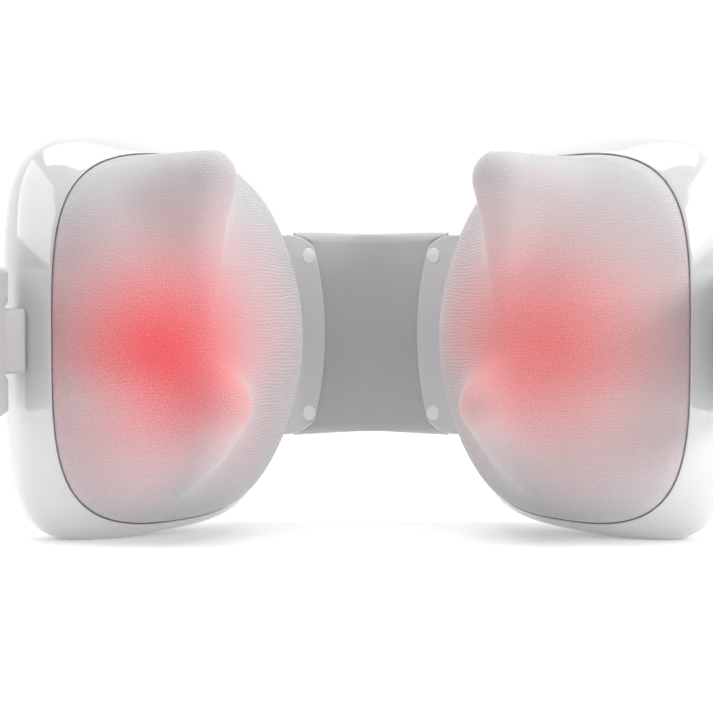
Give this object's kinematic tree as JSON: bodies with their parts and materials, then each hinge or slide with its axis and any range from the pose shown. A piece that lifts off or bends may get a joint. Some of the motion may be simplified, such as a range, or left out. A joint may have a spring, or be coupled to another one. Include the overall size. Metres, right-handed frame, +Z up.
{
  "type": "neck massager",
  "caption": "Horseshoe-shaped massager for the neck: kneading pods under warm-lit knit on a flexible band, each with a hinged arm that has a finger slot.",
  "frame": {"origin": "centre of the bounding box, on the surface that the pods stand on", "axes": "+Z up, +X towards the pod with the controls, -Y towards the open front between the arms"},
  "size_m": [0.29, 0.2132, 0.1573],
  "materials": {
    "shell_gloss": "polished white ABS",
    "rim_white": "white ABS, lightly polished",
    "knit_fabric": "fine stretch knit, mottled grey, lit red from inside",
    "chassis_plastic": "glass-filled nylon, moulded",
    "screw_steel": "zinc plated",
    "motor_steel": "plated motor can and dark gearbox",
    "pinion_brass": "turned",
    "gear_nylon": "acetal, moulded",
    "shaft_steel": "ground",
    "yoke_plastic": "glass-filled nylon, moulded",
    "head_plastic": "soft-touch moulded",
    "bush_bronze": "sintered bronze",
    "circuit_board": "solder mask",
    "lamp_red": "translucent red diffuser",
    "arm_satin": "satin grey ABS",
    "grip_rubber": "soft overmould",
    "band_silicone": "smooth silicone",
    "cable_sheath": "matt",
    "cell_wrap": "heat-shrink sleeve",
    "bezel_grey": "satin",
    "key_white": "satin"
  },
  "bodies": {
    "neck": {"neck_band": "band_silicone", "band_harness": "cable_sheath"},
    "left_pod": {"left_shell": "shell_gloss", "left_fabric_frame": "rim_white", "left_fabric_cover": "knit_fabric", "left_mechanism_plate": "chassis_plastic", "left_plate_screws": "screw_steel", "left_gearmotor": "motor_steel", "left_crank_axle": "shaft_steel", "left_yoke_shaft": "shaft_steel", "left_yoke_bushes": "bush_bronze", "left_lamp_board": "circuit_board", "left_lamp_lens": "lamp_red", "left_neck_bracket": "shell_gloss", "left_clamp_plate": "shell_gloss", "left_clamp_screws": "rim_white", "left_hinge_knuckle": "arm_satin", "left_hinge_pin": "shaft_steel", "battery_pack": "cell_wrap"},
    "left_yoke": {"left_yoke": "yoke_plastic", "left_kneading_heads": "head_plastic"},
    "left_crank": {"left_crank_gear": "gear_nylon"},
    "left_drive": {"left_pinion": "pinion_brass"},
    "left_arm": {"left_arm": "arm_satin", "left_finger_grip": "grip_rubber"},
    "right_pod": {"right_shell": "shell_gloss", "right_fabric_frame": "rim_white", "right_fabric_cover": "knit_fabric", "right_mechanism_plate": "chassis_plastic", "right_plate_screws": "screw_steel", "right_gearmotor": "motor_steel", "right_crank_axle": "shaft_steel", "right_yoke_shaft": "shaft_steel", "right_yoke_bushes": "bush_bronze", "right_lamp_board": "circuit_board", "right_lamp_lens": "lamp_red", "right_neck_bracket": "shell_gloss", "right_clamp_plate": "shell_gloss", "right_clamp_screws": "rim_white", "right_hinge_knuckle": "arm_satin", "right_hinge_pin": "shaft_steel", "main_board": "circuit_board", "charge_socket": "shaft_steel", "control_bezel": "bezel_grey"},
    "right_yoke": {"right_yoke": "yoke_plastic", "right_kneading_heads": "head_plastic"},
    "right_crank": {"right_crank_gear": "gear_nylon"},
    "right_drive": {"right_pinion": "pinion_brass"},
    "right_arm": {"right_arm": "arm_satin", "right_finger_grip": "grip_rubber"},
    "power_key": {"power_button": "key_white"},
    "heat_key": {"heat_button": "key_white"},
    "speed_key": {"speed_button": "key_white"}
  },
  "joints": [
    {"name": "left_band_flex", "type": "hinge", "parent": "neck", "child": "left_pod", "pos_m": [-0.01175, 0.10077, 0.078], "axis": [0, 0, 1], "range_deg": [-15, 8], "stiffness_Nm_per_rad": 0.6, "deforming": ["neck_band", "band_harness"]},
    {"name": "left_yoke_swing", "type": "hinge", "parent": "left_pod", "child": "left_yoke", "pos_m": [-0.08647, 0.05188, 0.078], "axis": [0, 0, 1], "range_deg": [-2, 16]},
    {"name": "left_crank_spin", "type": "hinge", "parent": "left_pod", "child": "left_crank", "pos_m": [-0.08188, 0.04533, 0.042], "axis": [-0.5736, 0.8192, 0], "continuous": true},
    {"name": "left_pinion_spin", "type": "hinge", "parent": "left_pod", "child": "left_drive", "pos_m": [-0.09813, 0.03395, 0.03478], "axis": [-0.5736, 0.8192, 0], "continuous": true},
    {"name": "left_arm_hinge", "type": "hinge", "parent": "left_pod", "child": "left_arm", "pos_m": [-0.14062, 0.00542, 0.078], "axis": [0, 0, 1], "range_deg": [-70, 20]},
    {"name": "right_band_flex", "type": "hinge", "parent": "neck", "child": "right_pod", "pos_m": [0.01175, 0.10077, 0.078], "axis": [0, 0, 1], "range_deg": [-8, 15], "stiffness_Nm_per_rad": 0.6, "deforming": ["neck_band", "band_harness"]},
    {"name": "right_yoke_swing", "type": "hinge", "parent": "right_pod", "child": "right_yoke", "pos_m": [0.08647, 0.05188, 0.078], "axis": [0, 0, 1], "range_deg": [-2, 16]},
    {"name": "right_crank_spin", "type": "hinge", "parent": "right_pod", "child": "right_crank", "pos_m": [0.08188, 0.04533, 0.042], "axis": [0.5736, 0.8192, 0], "continuous": true},
    {"name": "right_pinion_spin", "type": "hinge", "parent": "right_pod", "child": "right_drive", "pos_m": [0.09813, 0.03395, 0.03478], "axis": [0.5736, 0.8192, 0], "continuous": true},
    {"name": "right_arm_hinge", "type": "hinge", "parent": "right_pod", "child": "right_arm", "pos_m": [0.14062, 0.00542, 0.078], "axis": [0, 0, 1], "range_deg": [-20, 70]},
    {"name": "power_press", "type": "slide", "parent": "right_pod", "child": "power_key", "axis": [-0.5736, -0.8192, 0], "range_m": [0, 0.0012], "stiffness_N_per_m": 300},
    {"name": "heat_press", "type": "slide", "parent": "right_pod", "child": "heat_key", "axis": [-0.5736, -0.8192, 0], "range_m": [0, 0.0012], "stiffness_N_per_m": 300},
    {"name": "speed_press", "type": "slide", "parent": "right_pod", "child": "speed_key", "axis": [-0.5736, -0.8192, 0], "range_m": [0, 0.0012], "stiffness_N_per_m": 300}
  ],
  "couplings": [
    {"joint": "left_pinion_spin", "follows": "left_crank_spin", "ratio": -2.5},
    {"joint": "right_pinion_spin", "follows": "right_crank_spin", "ratio": -2.5}
  ]
}
